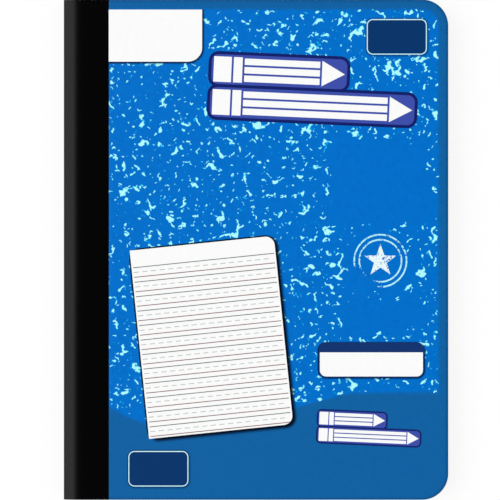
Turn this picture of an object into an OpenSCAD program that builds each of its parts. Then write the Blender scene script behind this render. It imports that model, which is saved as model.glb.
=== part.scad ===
// Composition notebook, closed and lying on its back cover with the front cover up.
// Fifty folded sheets are sewn through the fold into one section, a pasteboard cover lies
// on each side, and one strip of black book cloth binds the covers to the spine.
// +X runs from the spine to the fore edge, +Y from the tail to the head, +Z out of the
// front cover. The origin is in the middle of the back cover's outside face.

/* [Book] */
// Height from the tail to the head
book_h = 247; // [235:1:270]
// Width from the spine to the fore edge
book_w = 190; // [184:1:220]
// Radius of the two trimmed corners at the fore edge
corner_r = 10.7; // [5:0.1:18]

/* [Pages] */
// Folded sheets in the section, with two leaves each
folded_sheets = 50; // [40:1:60]
// Thickness of one leaf with the air beside it
leaf_t = 0.086; // [0.07:0.002:0.1]
// Sheets between two of the lines that show at the trimmed edges
sheets_per_line = 5; // [4:1:10]
// Width of a line between sheets at the trimmed edges
line_w = 0.06; // [0.04:0.01:0.1]
// Depth of a line between sheets at the trimmed edges
line_depth = 0.25; // [0.1:0.05:0.5]

/* [Sewing] */
// Diameter of the sewing thread
thread_d = 0.5; // [0.3:0.05:0.7]
// Free space round the thread in its holes and grooves
thread_gap = 0.05; // [0.02:0.01:0.1]
// Length of one stitch
stitch_l = 9; // [6:0.5:15]
// Distance from the head and the tail to the first stitch
stitch_margin = 6; // [4:0.5:12]

/* [Covers] */
// Thickness of a pasteboard cover
board_t = 1.1; // [0.9:0.05:1.6]
// How far the outside face sinks towards the hinge
crown_drop = 0.25; // [0.15:0.05:0.3]
// Distance from the spine to where the outside face starts to sink
crown_w = 10; // [8:0.5:14]

/* [Cloth strip] */
// Thickness of the book cloth
tape_t = 0.25; // [0.15:0.05:0.3]
// Width of the cloth that shows on a cover, from the spine
tape_w = 22.4; // [16:0.1:28]
// Distance from the spine to the line where a cover hinges
hinge_in = 3.8; // [3.4:0.1:4.5]
// Gap in the cloth at the hinge line
hinge_gap = 0.15; // [0.1:0.05:0.3]
// Space between the spine and a cover that is turned right back
swing_gap = 0.25; // [0.15:0.05:0.3]

/* [Printed border] */
// Thickness of the printed films on the front cover
film_t = 0.05; // [0.03:0.01:0.1]
// Width of the dark border along the head
head_border = 5; // [3:0.1:8]
// Width of the dark border along the fore edge
fore_border = 4; // [3:0.1:8]
// Height of the lower band beside the spine
band_left_h = 42.7; // [38:0.1:46]
// Height of the lower band beside the fore edge
band_right_h = 53.1; // [48:0.1:56]
// How far the top of the lower band sinks under its ends
band_dip = 13; // [6:0.5:16]
// Distance from the fore edge to where the top of the band runs level
band_level_w = 49; // [40:1:60]

/* [Bare tab] */
// Width of the white tab at the head
tab_w = 46.1; // [38:0.1:47]
// Height of the white tab
tab_h = 25.7; // [20:0.1:30]
// Radius of the tab's free corner
tab_r = 7; // [3:0.1:12]

/* [Panels] */
// Width of a small panel
badge_w = 29.6; // [24:0.1:32]
// Height of a small panel
badge_h = 17.5; // [14:0.1:20]
// Corner radius of a small panel
badge_r = 3; // [1.5:0.1:5]
// Width of the white line round a small panel
badge_line = 0.6; // [0.5:0.1:1.2]
// Distance from the fore edge to the upper panel
badge_fore_gap = 10.6; // [8:0.1:14]
// Distance from the head to the upper panel
badge_head_gap = 9.7; // [7:0.1:10]
// Distance from the cloth to the lower panel
badge_cloth_gap = 9.7; // [6:0.1:14]
// Distance from the tail to the lower panel
badge_tail_gap = 6.6; // [5:0.1:9]

/* [Title plate] */
// Width of the tilted plate at its lower row
plate_w = 104; // [90:0.5:106]
// Width of the plate at its upper row
upper_row_w = 70; // [60:0.5:90]
// Height of the tilted plate
plate_h = 34; // [26:0.5:35]
// Corner radius of the plate
plate_r = 5; // [3:0.5:7]
// Width of the dark rim round the plate
plate_rim = 1.5; // [1:0.1:2.5]
// Width of the coloured field that shows between the rim and a pencil
field_edge = 1.1; // [0.6:0.1:2]
// Tilt of the plate, anticlockwise
plate_tilt = -2.5; // [-3:0.5:0]
// Distance from the fore edge to the middle of the plate
plate_fore_gap = 66.8; // [65:0.1:68]
// Distance from the head to the middle of the plate
plate_head_gap = 44.5; // [44:0.1:50]
// Size of the repeated small plate against the large one
small_plate_scale = 0.5; // [0.4:0.02:0.55]
// Distance from the fore edge to the middle of the small plate
small_plate_fore_gap = 39.1; // [36:0.1:44]
// Distance from the tail to the middle of the small plate
small_plate_tail_gap = 35.3; // [32:0.1:38]

/* [Name panel] */
// Width of the name panel
name_w = 51.9; // [44:0.1:54]
// Height of the name panel
name_h = 17.4; // [14:0.1:20]
// Height of its dark header
name_header_h = 5; // [4:0.1:6]
// Corner radius of the name panel
name_r = 3.6; // [2:0.1:5]
// Width of the dark line round the panel
name_line = 0.5; // [0.3:0.1:0.8]
// Distance from the fore edge to the name panel
name_fore_gap = 12; // [9:0.1:14]
// Distance from the tail to the foot of the name panel
name_tail_gap = 60.4; // [58:0.1:66]

/* [Round stamp] */
// Diameter of the stamp
stamp_d = 26.6; // [20:0.1:28]
// Width of its rings
stamp_ring = 0.8; // [0.6:0.1:1.4]
// Gap between its two rings
stamp_ring_gap = 1.7; // [1:0.1:2.4]
// Distance from the fore edge to the middle of the stamp
stamp_fore_gap = 33.5; // [28:0.1:38]
// Distance from the tail to the middle of the stamp
stamp_tail_gap = 118; // [105:0.5:125]

/* [Ruled sheet] */
// Width of the printed sheet of ruled paper
sheet_w = 71.5; // [62:0.1:74]
// Height of the printed sheet
sheet_h = 93.4; // [80:0.1:96]
// Corner radius of the sheet's free side
sheet_r = 4.5; // [2:0.1:8]
// Tilt of the sheet, anticlockwise
sheet_tilt = 5.9; // [0:0.1:8]
// Distance from the cloth to the middle of the sheet
sheet_cloth_gap = 50.7; // [48:0.1:53]
// Distance from the lower small panel up to the sheet's lowest corner
sheet_foot_gap = 6; // [3:0.1:8]
// Reach of the sheet's shadow past its edge
sheet_shadow = 0.8; // [0.6:0.1:1.8]
// Distance from one group of rulings to the next
ruling_pitch = 7.18; // [6:0.02:9]
// Distance from the sheet's top edge to the first ruling
first_ruling = 8.6; // [5:0.1:14]
// Distance from the solid line of a group down to its red base line
baseline_drop = 4.75; // [3.6:0.05:5.4]
// Thickness of the sheet's rulings
ruling_w = 0.35; // [0.3:0.05:0.6]
// Length of a dash in the dashed rulings
dash_l = 2.6; // [1:0.1:3]
// Gap between two dashes
dash_gap = 1.7; // [0.6:0.1:2]
// Distance that the rulings keep from the sheet's left and right edge
ruling_margin = 0.8; // [0.2:0.1:4]

/* [Marbling] */
// Distance between the pale flecks of the marbling
fleck_pitch = 7.2; // [7:0.1:12]
// Size of the largest flecks
fleck_r = 1.6; // [0.8:0.05:1.7]
// Distance that the flecks keep from a panel and from the dark border
fleck_margin = 0.6; // [0.3:0.1:3]
// Number that sets where the flecks fall and what shape they have
marble_seed = 7; // [1:1:50]

/* [Hidden] */

$fn = 96;
// Facets of the long arcs
arc_fn = 1440;
// A cut runs past what it cuts by this much
past = 1;

page_t = 2 * folded_sheets * leaf_t;
book_t = page_t + 2 * board_t;
fore_x = book_w / 2;
spine_x = -book_w / 2;
head_y = book_h / 2;
tail_y = -book_h / 2;
cloth_x = spine_x + tape_w;
hinge_x = spine_x + hinge_in;
crown_x = spine_x + crown_w;

// The cloth goes round the fold on one arc, and the fold of the outer sheet lies inside it
nose_outer_r = book_t / 2 - crown_drop - swing_gap;
nose_page_r = nose_outer_r - tape_t;
nose_x = spine_x + nose_outer_r;

// The face between the crown's start and the hinge is an arc that sinks by crown_drop
crown_run = crown_x - hinge_x;
crown_r = (crown_run * crown_run + crown_drop * crown_drop) / (2 * crown_drop);

// The thread lies in an open groove outside the fold and in the fold of the middle sheet
thread_r = thread_d / 2;
bore_r = thread_r + thread_gap;
outer_run_x = spine_x + tape_t + thread_r + thread_gap / 2;
inner_run_x = nose_x;
lock_x = (outer_run_x + inner_run_x) / 2;
stitches = floor((book_h - 2 * stitch_margin) / stitch_l);
first_stitch_y = -stitches * stitch_l / 2;

line_pitch = sheets_per_line * 2 * leaf_t / 2;
page_lines = ceil(folded_sheets / sheets_per_line) - 1;

upper_badge = [fore_x - badge_fore_gap - badge_w / 2, head_y - badge_head_gap - badge_h / 2];
lower_badge = [cloth_x + badge_cloth_gap + badge_w / 2, tail_y + badge_tail_gap + badge_h / 2];
plate_mid = [fore_x - plate_fore_gap, head_y - plate_head_gap];
small_plate_mid = [fore_x - small_plate_fore_gap, tail_y + small_plate_tail_gap];
name_mid = [fore_x - name_fore_gap - name_w / 2, tail_y + name_tail_gap + name_h / 2];
stamp_mid = [fore_x - stamp_fore_gap, tail_y + stamp_tail_gap];
sheet_half_y = (sheet_h * cos(sheet_tilt) + sheet_w * sin(sheet_tilt)) / 2;
sheet_mid = [cloth_x + sheet_cloth_gap, lower_badge[1] + badge_h / 2 + sheet_foot_gap + sheet_half_y];

// Order in which the panels lie over the printed ground, the lowest first
sheet_order = 1;
plate_order = 2;
tab_order = 3;
badge_order = 4;
name_order = 5;
stamp_order = 6;

// Fields that the marbling keeps clear of: middle, size and tilt
clear_fields = [
    [[cloth_x + tab_w / 2, head_y - head_border - tab_h / 2], [tab_w, tab_h], 0],
    [upper_badge, [badge_w, badge_h], 0],
    [plate_mid, [plate_w, plate_h], plate_tilt],
    [name_mid, [name_w, name_h], 0],
    [stamp_mid, [stamp_d, stamp_d], 0],
    [sheet_mid, [sheet_w + 2 * sheet_shadow, sheet_h + 2 * sheet_shadow], sheet_tilt]
];

// Points on the top edge of the lower band, a cubic curve from the cloth to its level part
band_start = [cloth_x, tail_y + band_left_h];
band_end = [fore_x - band_level_w, tail_y + band_right_h];
band_run = band_end[0] - band_start[0];
band_c1 = [cloth_x + 0.22 * band_run, band_start[1] - band_dip];
band_c2 = [cloth_x + 0.66 * band_run, band_end[1] - 0.85 * band_dip];
band_steps = 24;
band_curve = [for (i = [0:band_steps]) cubic(i / band_steps, band_start, band_c1, band_c2, band_end)];

function cubic(t, a, b, c, d) =
    pow(1 - t, 3) * a + 3 * pow(1 - t, 2) * t * b + 3 * (1 - t) * t * t * c + t * t * t * d;

// Whether a fleck that reaches r from its middle clears a tilted rectangle
function clears(p, r, field) =
    let (
        d = p - field[0],
        along = abs(d[0] * cos(field[2]) + d[1] * sin(field[2])),
        across = abs(d[1] * cos(field[2]) - d[0] * sin(field[2]))
    )
    along > field[1][0] / 2 + r + fleck_margin || across > field[1][1] / 2 + r + fleck_margin;

function clears_all(p, r) =
    len([for (field = clear_fields) if (!clears(p, r, field)) 1]) == 0;

// Rectangle with its middle at the origin and four round corners
module round_rect(size, r) {
    square([size[0] - 2 * r, size[1]], center = true);
    square([size[0], size[1] - 2 * r], center = true);
    for (sx = [-1, 1], sy = [-1, 1])
        translate([sx * (size[0] / 2 - r), sy * (size[1] / 2 - r)]) circle(r);
}

// Outline of the trimmed book from a given x to the fore edge, drawn in by inset
module trimmed_outline(left, inset = 0) {
    translate([left, tail_y + inset])
        square([fore_x - corner_r - left, book_h - 2 * inset]);
    translate([left, tail_y + corner_r])
        square([fore_x - inset - left, book_h - 2 * corner_r]);
    for (end = [-1, 1])
        translate([fore_x - corner_r, end * (head_y - corner_r)]) circle(corner_r - inset);
}

// Stands a section drawn in X and Z along the book from tail to head
module along_spine(length = book_h) {
    rotate([90, 0, 0]) linear_extrude(length, center = true) children();
}

// Section under the front cover's outside face, sunk by a depth, from one x to another.
// Heights are measured from the middle of the pages.
module under_face(depth, from_x, to_x) {
    top = book_t / 2 - depth;
    low = top - crown_drop - board_t;
    if (to_x > crown_x)
        translate([max(from_x, crown_x), low]) square([to_x - max(from_x, crown_x), top - low]);
    if (from_x < crown_x)
        intersection() {
            translate([crown_x, book_t / 2 - crown_r]) circle(crown_r - depth, $fn = arc_fn);
            translate([from_x, low]) square([min(to_x, crown_x) - from_x, top - low]);
        }
}

// Pasteboard cover of the front, with the bed that the cloth is pressed into
module board() {
    intersection() {
        translate([0, 0, page_t / 2]) linear_extrude(board_t) trimmed_outline(hinge_x);
        along_spine() {
            under_face(0, cloth_x, fore_x);
            under_face(tape_t, hinge_x, cloth_x);
        }
    }
}

// Cloth on the face of the front cover, from the hinge line to its cut edge
module cloth_flap() {
    along_spine() difference() {
        under_face(0, hinge_x, cloth_x);
        under_face(tape_t, hinge_x - past, cloth_x + past);
    }
}

module on_front() {
    translate([0, 0, book_t / 2]) children();
}

module on_back() {
    translate([0, 0, book_t / 2]) mirror([0, 0, 1]) children();
}

// Section of the sewn block: leaves lie flat and turn round at the fold
module block_section() {
    translate([nose_x, -page_t / 2]) square([fore_x - nose_x, page_t]);
    intersection() {
        translate([nose_x, 0]) circle(nose_page_r, $fn = arc_fn / 4);
        translate([spine_x, -page_t / 2]) square([nose_x - spine_x, page_t]);
    }
}

// Section of the lines between sheets, nested round the middle fold
module line_section() {
    for (k = [1:page_lines]) {
        r = k * line_pitch;
        translate([nose_x, 0]) difference() {
            circle(r + line_w / 2);
            circle(r - line_w / 2);
            translate([0, -page_t]) square(2 * page_t);
        }
        for (side = [-1, 1])
            translate([nose_x, side * r - line_w / 2]) square([fore_x + past - nose_x, line_w]);
    }
    translate([nose_x, -line_w / 2]) square([fore_x + past - nose_x, line_w]);
}

// A run of thread from tail to head and a leg at each stitch hole, as a bore or as thread
module thread_path(run_x, leg_x, r, length) {
    translate([run_x, 0, 0]) rotate([90, 0, 0]) cylinder(h = length, r = r, center = true);
    for (i = [0:stitches])
        translate([min(run_x, leg_x), first_stitch_y + i * stitch_l, 0])
            rotate([0, 90, 0]) cylinder(h = abs(leg_x - run_x), r = r);
}

module page_block() {
    color("ivory") translate([0, 0, book_t / 2]) difference() {
        intersection() {
            along_spine() block_section();
            translate([0, 0, -page_t / 2]) linear_extrude(page_t) trimmed_outline(spine_x);
        }
        difference() {
            along_spine(book_h + 2 * past) line_section();
            translate([0, 0, -page_t]) linear_extrude(2 * page_t)
                trimmed_outline(spine_x, line_depth);
        }
        thread_path(outer_run_x, inner_run_x, bore_r, book_h + 2 * past);
        translate([inner_run_x, 0, 0]) rotate([90, 0, 0])
            cylinder(h = book_h + 2 * past, r = bore_r, center = true);
    }
}

module needle_thread() {
    color("white") translate([0, 0, book_t / 2])
        thread_path(outer_run_x, lock_x, thread_r, stitches * stitch_l + 2 * thread_d);
}

module bobbin_thread() {
    color("white") translate([0, 0, book_t / 2])
        thread_path(inner_run_x, lock_x, thread_r, stitches * stitch_l + 2 * thread_d);
}

module spine_cloth() {
    color("black") translate([0, 0, book_t / 2]) along_spine() intersection() {
        difference() {
            translate([nose_x, 0]) circle(nose_outer_r, $fn = arc_fn / 4);
            translate([nose_x, 0]) circle(nose_page_r, $fn = arc_fn / 4);
        }
        translate([spine_x, -book_t / 2]) square([hinge_in - hinge_gap, book_t]);
    }
}

module front_cover() {
    color("dodgerblue") on_front() board();
}

module front_cloth_flap() {
    color("black") on_front() cloth_flap();
}

module back_cover() {
    color("dodgerblue") on_back() board();
}

module back_cloth_flap() {
    color("black") on_back() cloth_flap();
}

// Lays a flat figure on the front cover as a printed film, over as many films as layer says
module printed(layer = 0) {
    translate([0, 0, book_t + layer * film_t]) linear_extrude(film_t) children();
}

module at_sheet() {
    translate(sheet_mid) rotate(sheet_tilt) children();
}

// Sheet with two square corners on the left and two round ones on the right
module sheet_figure() {
    translate([-sheet_w / 2, -sheet_h / 2]) square([sheet_w / 2, sheet_h]);
    round_rect([sheet_w, sheet_h], sheet_r);
}

module shaded_sheet_figure() {
    sheet_figure();
    translate([sheet_shadow, -sheet_shadow]) sheet_figure();
}

module tab_figure() {
    translate([cloth_x, head_y - head_border - tab_h]) {
        translate([0, tab_r]) square([tab_w, tab_h - tab_r]);
        square([tab_w - tab_r, tab_h]);
        translate([tab_w - tab_r, tab_r]) circle(tab_r);
    }
}

module badge_figure() {
    round_rect([badge_w, badge_h], badge_r);
}

module badge_field_figure() {
    round_rect([badge_w - 2 * badge_line, badge_h - 2 * badge_line], badge_r - badge_line);
}

// Places a figure on both small panels
module at_badges() {
    for (mid = [upper_badge, lower_badge]) translate(mid) children();
}

// A pencil's row in the plate: its width and the height of its middle. Rows share one rim.
row_h = (plate_h + plate_rim) / 2;
plate_rows = [[upper_row_w, (row_h - plate_rim) / 2], [plate_w, -(row_h - plate_rim) / 2]];

// The plate's two rows, drawn in by inset
module plate_figure(inset = 0) {
    for (row = plate_rows)
        translate([(row[0] - plate_w) / 2, row[1]])
            round_rect([row[0] - 2 * inset, row_h - 2 * inset], plate_r - inset);
}

// Places a figure on the large plate and again, smaller, on the repeated plate
module at_plates() {
    translate(plate_mid) rotate(plate_tilt) children();
    translate(small_plate_mid) rotate(plate_tilt) scale(small_plate_scale) children();
}

// Dark frame along the head and the fore edge, and the band across the foot
module border_figure() {
    difference() {
        trimmed_outline(cloth_x);
        difference() {
            translate([cloth_x, tail_y])
                square([fore_x - fore_border - cloth_x, book_h - head_border]);
            polygon(concat(
                band_curve,
                [[fore_x, band_end[1]], [fore_x, tail_y], [cloth_x, tail_y]]
            ));
        }
    }
}

// Outlines of the panels that have one place in the order
module panel_figure(order) {
    if (order == sheet_order) at_sheet() shaded_sheet_figure();
    if (order == plate_order) at_plates() plate_figure();
    if (order == tab_order) tab_figure();
    if (order == badge_order) at_badges() badge_figure();
    if (order == name_order) translate(name_mid) round_rect([name_w, name_h], name_r);
    if (order == stamp_order) translate(stamp_mid) circle(stamp_d / 2);
}

// Knocks the panels that lie over a place in the order out of what is printed there
module under_panels(order) {
    difference() {
        children();
        for (over = [order + 1:stamp_order]) panel_figure(over);
    }
}

module border_band() {
    color("steelblue") printed() under_panels(0) border_figure();
}

// One fleck: a bent stroke that swells in the middle and runs out at both ends. Its half
// length, bend and half width are shares of its size.
fleck_reach = 1.75;
fleck_bend = 0.7;
thinnest_fleck = 0.35;
thickest_fleck = 0.7;
stroke_stops = [-0.6, 0, 0.6];
smallest_fleck = 0.4;
largest_fleck = 1.15;

module fleck(r, seed) {
    draws = rands(0, 1, 5, seed);
    bend = fleck_bend * (2 * draws[0] - 1);
    swell = [for (k = [0:2]) thinnest_fleck + (thickest_fleck - thinnest_fleck) * draws[k + 1]];
    edge = function (k, side)
        [fleck_reach * stroke_stops[k], bend * (1 - pow(2 * stroke_stops[k], 2)) + side * swell[k]];
    rotate(360 * draws[4]) polygon(r * concat(
        [[-fleck_reach, -bend]], [for (k = [0:2]) edge(k, 1)],
        [[fleck_reach, -bend]], [for (k = [2:-1:0]) edge(k, -1)]
    ));
}

module marble_flecks() {
    first_x = cloth_x + fleck_margin / 2;
    last_x = fore_x - fore_border - fleck_margin / 2;
    first_y = tail_y + band_right_h + fleck_margin / 2;
    last_y = head_y - head_border - fleck_margin / 2;
    columns = floor((last_x - first_x) / fleck_pitch) - 1;
    rows = floor((last_y - first_y) / fleck_pitch) - 1;
    draws = rands(0, 1, 3 * (columns + 1) * (rows + 1), marble_seed);
    color("azure") printed()
        for (i = [0:columns], j = [0:rows - i % 2]) {
            n = 3 * (i * (rows + 1) + j);
            // Every second column lies half a pitch higher
            rise = (i % 2) / 2;
            r = fleck_r * (smallest_fleck + (largest_fleck - smallest_fleck) * pow(draws[n + 2], 1.5));
            // A fleck is shifted by no more than keeps it off the next one
            half_length = norm([fleck_reach, fleck_bend]) * r;
            shift = max(0, fleck_pitch / 2 - half_length);
            p = [first_x + (i + 0.5) * fleck_pitch + shift * (2 * draws[n] - 1),
                first_y + (j + 0.5 + rise) * fleck_pitch + shift * (2 * draws[n + 1] - 1)];
            if (clears_all(p, half_length))
                translate(p) fleck(r, marble_seed + n + 1);
        }
}

module head_tab() {
    color("white") printed() under_panels(tab_order) tab_figure();
}

module badge_fields() {
    color("midnightblue") printed() under_panels(badge_order) at_badges() badge_field_figure();
}

module badge_lines() {
    color("white") printed() under_panels(badge_order) at_badges() difference() {
        badge_figure();
        badge_field_figure();
    }
}

// A plain pencil that fills a row of the plate: rubber, ring, barrel with two grooves, and tip
pencil_d = row_h - 2 * plate_rim - 2 * field_edge;
rubber_l = 0.7 * pencil_d;
ring_l = 0.35 * pencil_d;
tip_l = 0.9 * pencil_d;
pencil_gap = 0.08 * pencil_d;

module pencil_figure(length) {
    barrel_x = rubber_l + ring_l + 2 * pencil_gap;
    barrel_l = length - barrel_x - pencil_gap - tip_l;
    translate([0, -pencil_d / 2]) square([rubber_l, pencil_d]);
    translate([rubber_l + pencil_gap, -pencil_d / 2]) square([ring_l, pencil_d]);
    for (k = [-1:1])
        translate([barrel_x, (k - 0.5) * pencil_d / 3 + pencil_gap / 2])
            square([barrel_l, pencil_d / 3 - pencil_gap]);
    translate([barrel_x + barrel_l + pencil_gap, 0])
        polygon([[0, -pencil_d / 2], [tip_l, 0], [0, pencil_d / 2]]);
}

module pencils_figure() {
    for (row = plate_rows)
        translate([-plate_w / 2 + plate_rim + field_edge, row[1]])
            pencil_figure(row[0] - 2 * plate_rim - 2 * field_edge);
}

module plate_rims() {
    color("midnightblue") printed() under_panels(plate_order) at_plates() difference() {
        plate_figure();
        plate_figure(plate_rim);
    }
}

module plate_fields() {
    color("slateblue") printed() under_panels(plate_order) at_plates() difference() {
        plate_figure(plate_rim);
        pencils_figure();
    }
}

module plate_pencils() {
    color("white") printed() under_panels(plate_order) at_plates() pencils_figure();
}

// White writing field under the name panel's header
module name_field_figure() {
    intersection() {
        round_rect([name_w - 2 * name_line, name_h - 2 * name_line], name_r - name_line);
        translate([-name_w / 2, -name_h / 2]) square([name_w, name_h - name_header_h]);
    }
}

module name_box() {
    color("white") printed() under_panels(name_order) translate(name_mid) name_field_figure();
}

module name_header() {
    color("midnightblue") printed() under_panels(name_order) translate(name_mid) difference() {
        round_rect([name_w, name_h], name_r);
        name_field_figure();
    }
}

module ring_figure(outer_r) {
    difference() {
        circle(outer_r);
        circle(outer_r - stamp_ring);
    }
}

module stamp_rings() {
    color("white") printed() translate(stamp_mid) {
        ring_figure(stamp_d / 2);
        ring_figure(stamp_d / 2 - stamp_ring - stamp_ring_gap);
    }
}

// Five-pointed star inside the stamp's rings
module stamp_star() {
    star_r = stamp_d / 2 - 2 * stamp_ring - 2 * stamp_ring_gap;
    color("white") printed() translate(stamp_mid)
        polygon([for (i = [0:9]) (i % 2 == 0 ? 1 : 0.4) * star_r * [sin(36 * i), cos(36 * i)]]);
}

module sheet_shade() {
    color("black") printed() under_panels(sheet_order) at_sheet() difference() {
        shaded_sheet_figure();
        sheet_figure();
    }
}

// Groups of rulings down the sheet: a solid line, a dashed one and a base line
last_group = floor((sheet_h - first_ruling - baseline_drop) / ruling_pitch);
ruling_l = sheet_w - 2 * ruling_margin;

function ruling_y(k) = sheet_h / 2 - first_ruling - k * ruling_pitch;

// Line of a ruling, from a distance along it, at a height on the sheet
module ruled_line(start, y, length) {
    translate([start - ruling_l / 2, y - ruling_w / 2]) square([length, ruling_w]);
}

module ruling_figure() {
    dash_pitch = dash_l + dash_gap;
    last_dash = floor((ruling_l + dash_gap) / dash_pitch) - 1;
    for (k = [0:last_group]) {
        ruled_line(0, ruling_y(k), ruling_l);
        for (i = [0:last_dash])
            ruled_line(i * dash_pitch, ruling_y(k) - baseline_drop / 2, dash_l);
    }
}

module baseline_figure() {
    for (k = [0:last_group]) ruled_line(0, ruling_y(k) - baseline_drop, ruling_l);
}

// Prints a figure on the sheet, cut off where the sheet's round corners end it
module printed_on_sheet() {
    printed(1) under_panels(sheet_order) at_sheet() intersection() {
        sheet_figure();
        children();
    }
}

module ruled_sheet() {
    color("white") printed() under_panels(sheet_order) at_sheet() sheet_figure();
}

module sheet_rulings() {
    color("lightslategray") printed_on_sheet() ruling_figure();
}

module sheet_baselines() {
    color("palevioletred") printed_on_sheet() baseline_figure();
}

page_block();
needle_thread();
bobbin_thread();
spine_cloth();
front_cover();
front_cloth_flap();
back_cover();
back_cloth_flap();
border_band();
marble_flecks();
head_tab();
badge_fields();
badge_lines();
plate_rims();
plate_fields();
plate_pencils();
name_box();
name_header();
stamp_rings();
stamp_star();
ruled_sheet();
sheet_shade();
sheet_rulings();
sheet_baselines();
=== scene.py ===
import math

import bmesh
import bpy
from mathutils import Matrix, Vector


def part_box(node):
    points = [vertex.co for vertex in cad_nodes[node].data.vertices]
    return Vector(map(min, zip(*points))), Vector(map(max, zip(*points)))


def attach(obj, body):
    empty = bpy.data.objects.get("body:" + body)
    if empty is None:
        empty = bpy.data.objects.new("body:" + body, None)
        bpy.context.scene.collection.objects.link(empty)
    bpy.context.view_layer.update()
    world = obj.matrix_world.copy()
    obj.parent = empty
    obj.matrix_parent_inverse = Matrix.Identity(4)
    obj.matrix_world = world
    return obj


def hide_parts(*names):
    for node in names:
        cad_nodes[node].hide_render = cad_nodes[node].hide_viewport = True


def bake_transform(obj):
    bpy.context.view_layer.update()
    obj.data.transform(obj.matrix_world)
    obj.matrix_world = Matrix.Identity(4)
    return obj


# The notebook lies on its back cover. X runs from the spine to the fore edge, Y from the tail
# to the head and Z out of the front cover. Sizes are in metres.
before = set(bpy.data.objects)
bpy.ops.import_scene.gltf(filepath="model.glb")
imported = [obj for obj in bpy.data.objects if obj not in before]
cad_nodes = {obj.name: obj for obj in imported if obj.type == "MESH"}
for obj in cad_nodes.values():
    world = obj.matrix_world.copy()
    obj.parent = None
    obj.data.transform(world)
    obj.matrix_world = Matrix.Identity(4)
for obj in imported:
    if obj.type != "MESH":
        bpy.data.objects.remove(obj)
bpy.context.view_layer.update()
bpy.ops.object.select_all(action="DESELECT")


# Pages: fifty sheets of ruled writing paper, folded once and nested into one section, with the
# fore edge and its two corners trimmed together with the covers. The fold of the outer sheet
# turns round inside the cloth at the spine.

cover_low, cover_high = [[round(v, 5) for v in corner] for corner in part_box("front_cover")]
fore_x, head_y, book_top_z = cover_high
mid_z = book_top_z / 2
corner_r = 0.013
leaf_corner_steps = 12
sheet_count = 50
# From one leaf to the next, and the paper alone
leaf_pitch = 0.000086
leaf_t = 0.00007
# Where the leaves end and the fold starts, and the fold's reach as a share of its half height
nose_x = -0.0901
fold_steps = 10
fold_stretch = 1.07
# Parts of a mesh are picked by their place: within a touch of a line, or near a corner
touch = 0.00001
corner_reach = 0.001


def new_piece(name, add, **where):
    """Adds a primitive and opens it in edit mode, with all of it selected."""
    bpy.ops.object.select_all(action="DESELECT")
    add(**where)
    piece = bpy.context.object
    piece.name = piece.data.name = name
    bpy.ops.object.mode_set(mode="EDIT")
    bpy.ops.mesh.select_mode(type="VERT")
    bpy.ops.mesh.select_all(action="SELECT")
    return piece


def pick(piece, what, test):
    """Selects the verts, edges or faces whose middle passes the test."""
    bpy.ops.mesh.select_mode(type={"verts": "VERT", "edges": "EDGE", "faces": "FACE"}[what])
    bpy.ops.mesh.select_all(action="DESELECT")
    shape = bmesh.from_edit_mesh(piece.data)
    for part in getattr(shape, what):
        if what == "verts":
            middle = part.co
        elif what == "edges":
            middle = (part.verts[0].co + part.verts[1].co) / 2
        else:
            middle = part.calc_center_median()
        if test(middle):
            part.select_set(True)
    shape.select_flush_mode()
    bmesh.update_edit_mesh(piece.data)


def add_modifier(piece, kind, **settings):
    """Adds a modifier in object mode and applies it."""
    modifier = piece.modifiers.new(kind.lower(), kind)
    for name, value in settings.items():
        setattr(modifier, name, value)
    bpy.context.view_layer.objects.active = piece
    bpy.ops.object.modifier_apply(modifier=modifier.name)


def close_piece(piece, body, slot, *replaced):
    """Smooths a finished piece's shading and hangs it on its body, if it rides on one."""
    bpy.ops.object.transform_apply(location=True, rotation=True, scale=True)
    bpy.ops.object.shade_smooth_by_angle(angle=math.radians(30))
    if body:
        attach(piece, body)
    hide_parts(*replaced)
    bpy.ops.object.select_all(action="DESELECT")


# One leaf with its trimmed corners is stacked, and the folds are spun from the stack's near edges
pages = new_piece("folded_sheets", bpy.ops.mesh.primitive_plane_add, size=1)
bpy.ops.transform.resize(value=(fore_x - nose_x, 2 * head_y, 1), center_override=(0, 0, 0))
bpy.ops.transform.translate(value=((fore_x + nose_x) / 2, 0, leaf_pitch / 2))
pick(pages, "verts", lambda p: p.x > fore_x - corner_reach)
bpy.ops.mesh.bevel(offset=corner_r, segments=leaf_corner_steps, affect="VERTICES")
bpy.ops.object.mode_set(mode="OBJECT")
add_modifier(pages, "ARRAY", count=sheet_count, use_relative_offset=False,
             use_constant_offset=True, constant_offset_displace=(0, 0, leaf_pitch))
bpy.ops.object.mode_set(mode="EDIT")
pick(pages, "edges", lambda p: p.x < nose_x + touch)
bpy.ops.mesh.spin(steps=fold_steps, angle=math.pi / 2, center=(nose_x, 0, 0), axis=(0, -1, 0))
pick(pages, "verts", lambda p: p.x < nose_x - touch / 10)
bpy.ops.transform.resize(value=(fold_stretch, 1, 1), center_override=(nose_x, 0, 0))
bpy.ops.object.mode_set(mode="OBJECT")
# The mirror makes the lower half of each sheet
add_modifier(pages, "MIRROR", use_axis=(False, False, True), use_mirror_merge=True,
             merge_threshold=touch)
bpy.ops.object.mode_set(mode="EDIT")
bpy.ops.mesh.select_all(action="SELECT")
bpy.ops.mesh.normals_make_consistent(inside=False)
bpy.ops.transform.translate(value=(0, 0, mid_z))
bpy.ops.object.mode_set(mode="OBJECT")
add_modifier(pages, "SOLIDIFY", thickness=leaf_t, offset=0)


def srgb(r, g, b):
    """Linear colour of a screen colour given from 0 to 255."""
    def linear(c):
        c /= 255
        return c / 12.92 if c <= 0.04045 else ((c + 0.055) / 1.055) ** 2.4
    return (linear(r), linear(g), linear(b), 1)


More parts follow.
